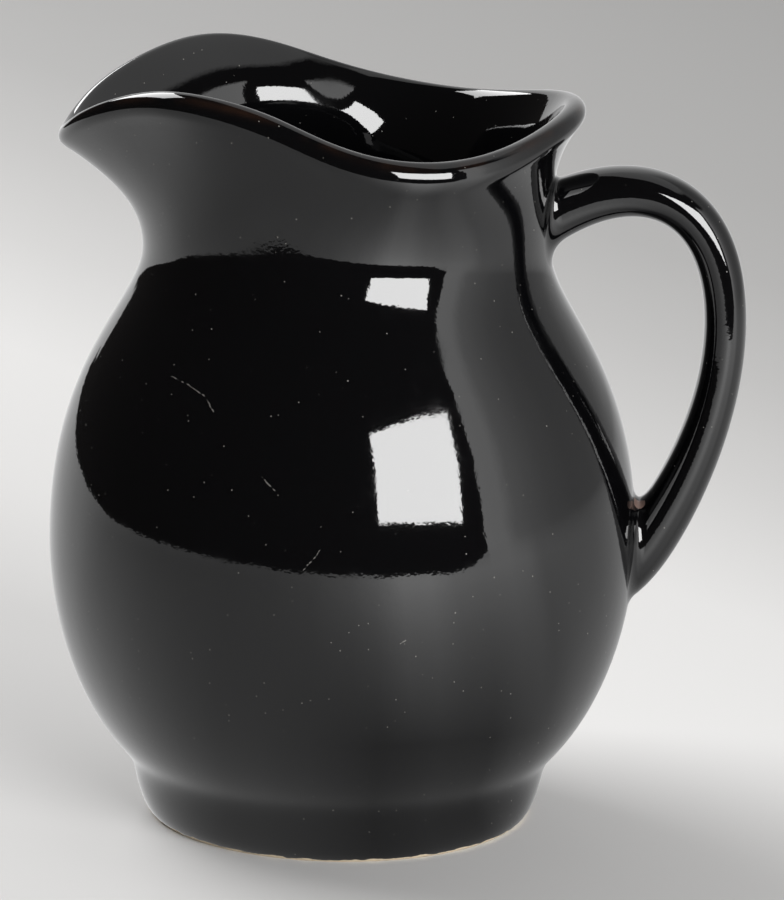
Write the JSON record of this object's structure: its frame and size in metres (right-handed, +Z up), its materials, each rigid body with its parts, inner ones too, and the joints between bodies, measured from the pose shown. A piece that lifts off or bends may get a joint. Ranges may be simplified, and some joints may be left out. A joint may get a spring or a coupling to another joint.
{
  "type": "ceramic creamer",
  "caption": "Small round-bellied ceramic cream pitcher with a pulled pouring lip, a foot ring and a loop handle, glazed gloss black.",
  "frame": {"origin": "on the surface that the creamer stands on, under the middle of its bounding box, midway between the tip of the lip and the back of the handle", "axes": "+Z up along the pot's axis, -X towards the pouring lip, +X towards the handle, the XZ plane is the plane of symmetry"},
  "size_m": [0.092, 0.0782, 0.101],
  "materials": {
    "black_glaze": "gloss black glaze over pale clay, with the foot's edge left bare"
  },
  "bodies": {
    "root": {"body": "black_glaze", "handle": "black_glaze", "upper_joint_slip": "black_glaze", "lower_joint_slip": "black_glaze"}
  },
  "joints": []
}
